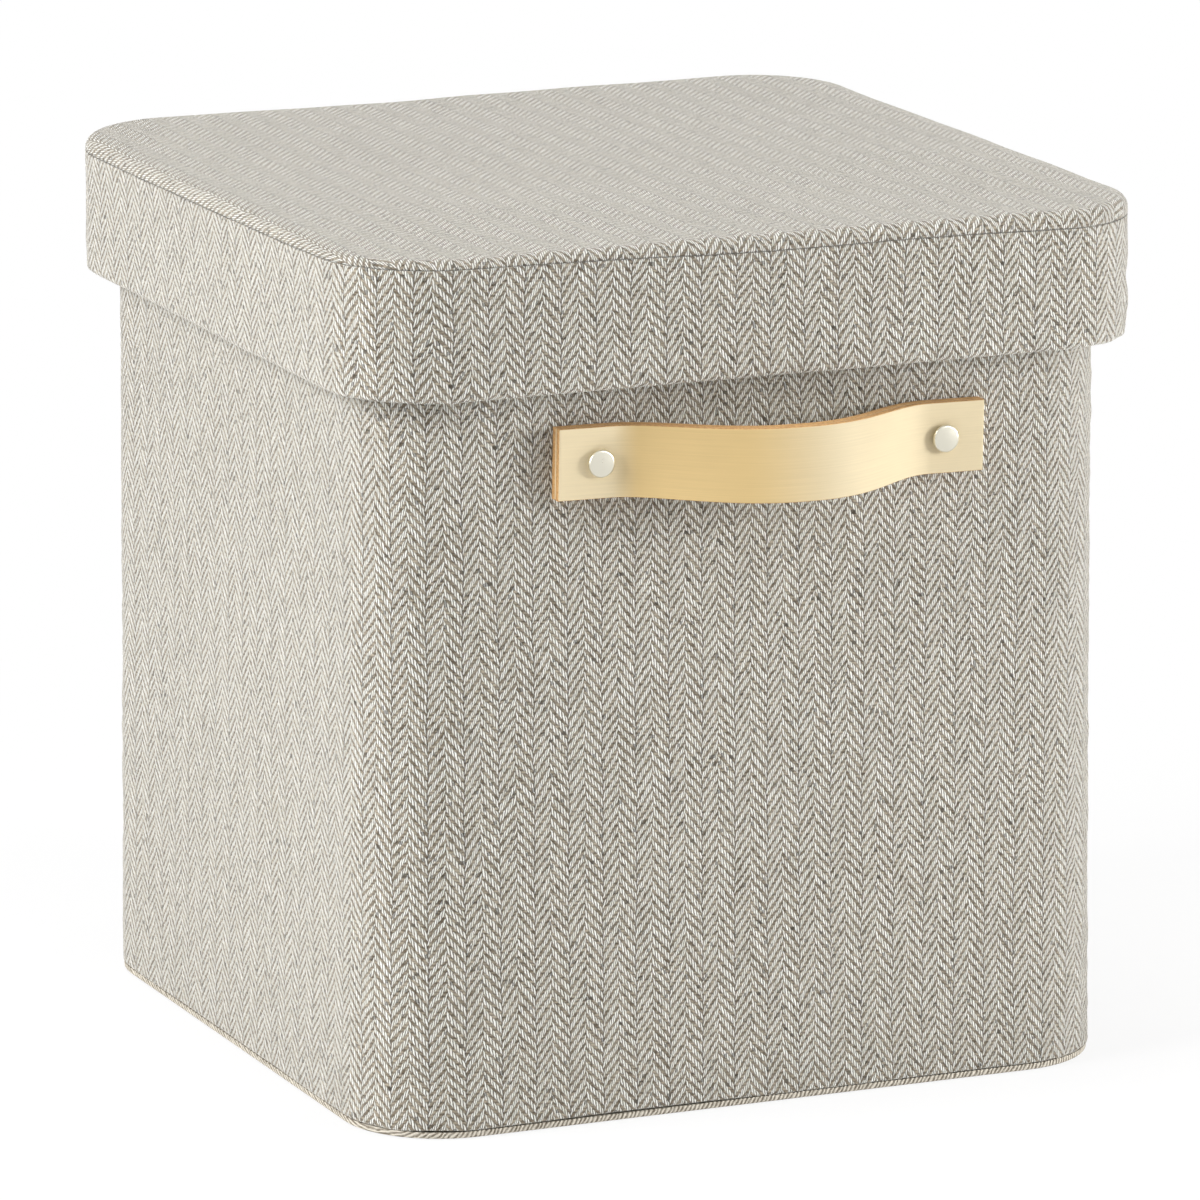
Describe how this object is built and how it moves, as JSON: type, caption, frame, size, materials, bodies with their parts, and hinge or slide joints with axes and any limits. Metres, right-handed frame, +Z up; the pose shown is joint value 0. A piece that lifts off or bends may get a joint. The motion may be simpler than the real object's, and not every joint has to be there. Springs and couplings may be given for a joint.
{
  "type": "lidded storage bin",
  "caption": "Rigid square storage bin covered in herringbone cloth, with a lift-off box lid and a bowed strap handle riveted to the front wall.",
  "frame": {"origin": "middle of the underside of the base, on the surface that the bin stands on", "axes": "+Z up; -Y is the front wall with the strap handle; +X is to the right seen from the front"},
  "size_m": [0.305, 0.3272, 0.315],
  "materials": {
    "herringbone_cloth": "matte",
    "lining_cloth": "matte",
    "base_cloth": "matte",
    "grey_board": "matte",
    "strap_hide": "satin",
    "nickel": "polished"
  },
  "bodies": {
    "bin": {"body_wrap": "herringbone_cloth", "wall_board": "grey_board", "wall_lining": "lining_cloth", "base_board": "grey_board", "base_cover_cloth": "base_cloth", "base_cover_card": "grey_board", "floor_card": "grey_board", "floor_cloth": "lining_cloth", "strap_back_ply": "strap_hide", "strap_front_ply": "strap_hide", "rivet_cap_left": "nickel", "rivet_cap_right": "nickel", "rivet_post_left": "nickel", "rivet_post_right": "nickel"},
    "lid": {"lid_top_cloth": "herringbone_cloth", "lid_rim_cloth": "herringbone_cloth", "lid_top_board": "grey_board", "lid_rim_board": "grey_board", "lid_rim_lining": "lining_cloth", "lid_top_lining": "lining_cloth"}
  },
  "joints": [
    {"name": "lid_lift", "type": "slide", "parent": "bin", "child": "lid", "axis": [0, 0, 1], "range_m": [0, 0.15]}
  ]
}
